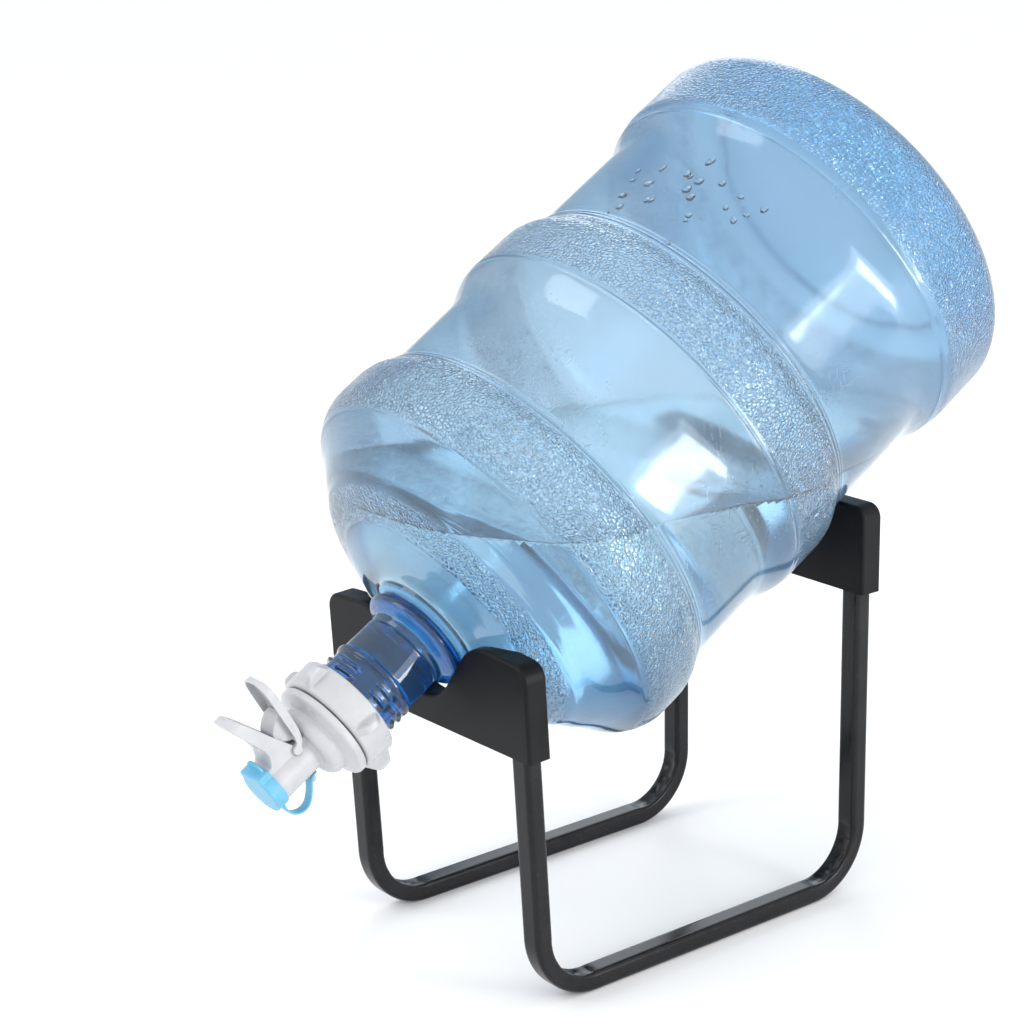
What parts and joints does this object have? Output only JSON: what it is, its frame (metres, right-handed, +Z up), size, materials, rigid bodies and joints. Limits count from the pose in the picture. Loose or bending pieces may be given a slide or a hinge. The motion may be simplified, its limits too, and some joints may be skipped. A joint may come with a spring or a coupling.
{
  "type": "water jug stand",
  "caption": "Ribbed blue water jug lying tilted on a bent-tube stand with moulded cradles, with a lever-operated dispensing valve screwed on its neck.",
  "frame": {"origin": "centre of the bounding box in plan, on the floor under the rails", "axes": "+Z up, -Y towards the spout, +X to the right of someone facing +Y"},
  "size_m": [0.27, 0.541, 0.5254],
  "materials": {
    "frame_paint": "gloss black powder coat",
    "cradle_black": "satin black moulded plastic",
    "jug_blue": "clear blue, with pebbled bands",
    "water": "clear water",
    "valve_white": "glossy white moulded plastic",
    "seal_rubber": "translucent soft rubber",
    "spring_steel": "drawn wire",
    "cap_blue": "soft sky-blue plastic"
  },
  "bodies": {
    "stand": {"side_frame_left": "frame_paint", "side_frame_right": "frame_paint", "front_cradle": "cradle_black", "rear_cradle": "cradle_black"},
    "jug": {"jug_shell": "jug_blue", "water": "water"},
    "valve": {"valve_body": "valve_white", "inlet_plate": "valve_white", "neck_gasket": "seal_rubber", "spring_retainer": "valve_white", "return_spring": "spring_steel", "cap_strap": "cap_blue"},
    "nut": {"collar_nut": "valve_white"},
    "trigger": {"trigger_lever": "valve_white"},
    "plunger_rod": {"plunger": "valve_white", "plunger_seal": "seal_rubber"},
    "cap": {"dust_cap": "cap_blue"}
  },
  "joints": [
    {"name": "jug_lift", "type": "slide", "parent": "stand", "child": "jug", "axis": [0, 0, 1], "range_m": [0, 0.1]},
    {"name": "valve_off", "type": "slide", "parent": "jug", "child": "valve", "axis": [0, -0.8572, -0.515], "range_m": [0, 0.0075]},
    {"name": "nut_turn", "type": "hinge", "parent": "valve", "child": "nut", "pos_m": [0, -0.18742, 0.1799], "axis": [0, -0.8572, -0.515], "range_deg": [0, 450]},
    {"name": "trigger_squeeze", "type": "hinge", "parent": "valve", "child": "trigger", "pos_m": [0, -0.22626, 0.16881], "axis": [1, 0, 0], "range_deg": [0, 20], "stiffness_Nm_per_rad": 0.3, "springref_deg": -20.05},
    {"name": "plunger_travel", "type": "slide", "parent": "valve", "child": "plunger_rod", "axis": [0, 0.8572, 0.515], "range_m": [0, 0.0037], "deforming": ["return_spring"]},
    {"name": "cap_pull", "type": "slide", "parent": "valve", "child": "cap", "axis": [0, -0.8572, -0.515], "range_m": [0, 0.014], "deforming": ["cap_strap"]}
  ],
  "couplings": [
    {"joint": "nut_turn", "follows": "valve_off", "rad_per_m": 1047.2},
    {"joint": "plunger_travel", "follows": "trigger_squeeze", "m_per_rad": 0.010313}
  ]
}
